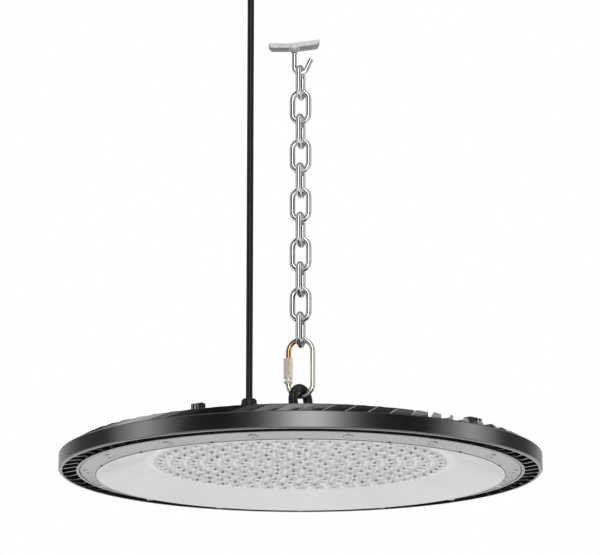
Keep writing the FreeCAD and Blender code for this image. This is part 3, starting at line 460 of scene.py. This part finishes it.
def finished(name, work, looks):
    bmesh.ops.recalc_face_normals(work, faces=work.faces)
    mesh = bpy.data.meshes.new(name)
    work.to_mesh(mesh)
    work.free()
    for look in looks:
        mesh.materials.append(look)
    piece = bpy.data.objects.new(name, mesh)
    bpy.context.scene.collection.objects.link(piece)
    return piece


def lens_cutter():
    """Screw pockets and the notches in the flange's inner step."""
    work = bmesh.new()
    for k in range(SCREWS):
        angle = 2 * math.pi * (k + 0.5) / SCREWS
        centre = (SCREW_CIRCLE_R * math.sin(angle), -SCREW_CIRCLE_R * math.cos(angle))
        low, high = (ring_of(work, POCKET_R, z, POCKET_STEPS, centre) for z in (POCKET_BELOW, POCKET_SEAT))
        band(work, low, high, FLANGE)
        cap(work, low, FLANGE, True)
        cap(work, high, FLANGE, False)
        made = bmesh.ops.create_cube(work, size=MM)["verts"]
        for face in {face for vert in made for face in vert.link_faces}:
            face.material_index = SHADOW
        bmesh.ops.scale(work, verts=made, vec=NOTCH)
        bmesh.ops.translate(work, verts=made, vec=(0, -STEP_R * MM, STEP_Z * MM))
        turn = Matrix.Rotation(2 * math.pi * k / SCREWS, 3, "Z")
        bmesh.ops.rotate(work, verts=made, cent=(0, 0, 0), matrix=turn)
    return finished("lens_cutter", work, [])


def cut_away(piece, cutter):
    """The piece's mesh less the cutter, which is removed."""
    cut = piece.modifiers.new("pockets", "BOOLEAN")
    cut.operation, cut.solver, cut.object = "DIFFERENCE", "EXACT", cutter
    solid = bpy.data.meshes.new_from_object(piece.evaluated_get(bpy.context.evaluated_depsgraph_get()))
    piece.modifiers.clear()
    bpy.data.objects.remove(cutter)
    return solid


def lens():
    """The moulded lens at its place in the housing, over the CAD lens."""
    looks = [make() for make in LENS_LOOKS]
    work = bmesh.new()
    lens_shell(work)
    piece = finished("optic_lens", work, looks)
    work = bmesh.new()
    work.from_mesh(cut_away(piece, lens_cutter()))
    for centre in dome_places():
        dome(work, centre)
    work.to_mesh(piece.data)
    work.free()
    piece.data.set_sharp_from_angle(angle=math.radians(SHARP_ANGLE))
    piece.data.transform(Matrix.Translation((LAMP_AXIS.x, LAMP_AXIS.y, RIM_BOTTOM)))
    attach(piece, "luminaire")
    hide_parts("lens")


# Studio

# What the gloss sees at each bearing, in degrees to either side of the studio's front: bright front and sides
GLOSS_LEVELS = [(0, 1.2), (6, 1.0), (15, 0.38), (25, 0.05), (36, 0.0), (58, 0.0), (70, 0.25), (82, 0.62),
                (94, 0.28), (106, 0.02), (130, 0.03), (150, 0.12), (170, 0.15)]
GLOSS_TURN = 4    # degrees that this front is turned to the right
AMBIENT, GLOSS, WHITE = 0.75, 2.8, 1.0

# Name, place, size and power of each lamp, all turned to the middle of the rim
LAMPS = (("key", (-1.2, -1.6, 1.2), (1.4, 1.4), 20), ("fill", (1.6, -0.8, 0.4), (1.2, 1.6), 8),
         ("under", (0.2, -0.6, RIM_BOTTOM - 0.8), (1.6, 1.2), 2.5))
FLOOR_REACH, FLOOR_DROP = 6.0, 0.9    # m from the middle to its sides, m below the rim


def world_light():
    """White to the camera and through glass. The gloss also sees a studio's dark flags."""
    world = bpy.data.worlds.new("studio")
    bpy.context.scene.world = world
    world.use_nodes = True
    tree = world.node_tree
    nodes, links = tree.nodes, tree.links
    nodes.clear()

    def background(level, colour=None):
        node = nodes.new("ShaderNodeBackground")
        node.inputs["Strength"].default_value = level
        node.inputs["Color"].default_value = (1, 1, 1, 1)
        if colour is not None:
            links.new(colour, node.inputs["Color"])
        return node.outputs[0]

    def mix(share, a, b):
        node = nodes.new("ShaderNodeMixShader")
        for socket, output in zip(node.inputs, (share, a, b)):
            links.new(output, socket)
        return node.outputs[0]

    axes = nodes.new("ShaderNodeSeparateXYZ")
    links.new(nodes.new("ShaderNodeTexCoord").outputs["Generated"], axes.inputs[0])
    ahead = math_node(tree, "MULTIPLY", axes.outputs["Y"], -1.0)
    bearing = math_node(tree, "ARCTAN2", axes.outputs["X"], ahead)
    off_front = math_node(tree, "ABSOLUTE", math_node(tree, "SUBTRACT", bearing, math.radians(GLOSS_TURN)))
    stops = [(degrees / 180, (level, level, level)) for degrees, level in GLOSS_LEVELS]
    flags = colour_ramp(tree, math_node(tree, "DIVIDE", off_front, math.pi), stops)

    paths = nodes.new("ShaderNodeLightPath").outputs
    white = background(WHITE)
    shown = mix(paths["Is Glossy Ray"], background(AMBIENT), background(GLOSS, flags))
    shown = mix(paths["Is Transmission Ray"], shown, white)
    shown = mix(paths["Is Camera Ray"], shown, white)
    links.new(shown, nodes.new("ShaderNodeOutputWorld").inputs["Surface"])


def lamp(name, place, size, power):
    target = Vector((LAMP_AXIS.x, 0, RIM_BOTTOM))
    data = bpy.data.lights.new(name, "AREA")
    data.shape = "RECTANGLE"
    data.size, data.size_y = size
    data.energy = power
    light = bpy.data.objects.new(name, data)
    light.location = place
    light.rotation_euler = (target - Vector(place)).to_track_quat("-Z", "Y").to_euler()
    light.visible_glossy = False
    bpy.context.scene.collection.objects.link(light)


def open_below(look):
    """Only the upper face shows, so that the object can be seen from under the floor."""
    mix = look.add("ShaderNodeMixShader")
    look.link(look.add("ShaderNodeNewGeometry").outputs["Backfacing"], mix.inputs[0])
    look.link(look.shader.outputs[0], mix.inputs[1])
    look.link(look.add("ShaderNodeBsdfTransparent").outputs[0], mix.inputs[2])
    look.link(mix.outputs[0], look.tree.nodes["Material Output"].inputs["Surface"])


def floor():
    look = Look("pale_floor", Roughness=0.9, Specular_IOR_Level=0.1)
    look.clouds(3, (0.84, 0.84, 0.84), (0.86, 0.86, 0.86))
    open_below(look)
    mesh = bpy.data.meshes.new("floor")
    sides = ((-1, -1), (1, -1), (1, 1), (-1, 1))
    corners = [(x * FLOOR_REACH, y * FLOOR_REACH, RIM_BOTTOM - FLOOR_DROP) for x, y in sides]
    mesh.from_pydata(corners, [], [(0, 1, 2, 3)])
    mesh.materials.append(look.material)
    piece = bpy.data.objects.new("floor", mesh)
    bpy.context.scene.collection.objects.link(piece)


photo_camera()
looks = node_looks()
dress_cad_nodes(looks)
supply_cord(looks["cord_sheath"])
lens()
world_light()
for settings in LAMPS:
    lamp(*settings)
floor()

bpy.context.view_layer.update()
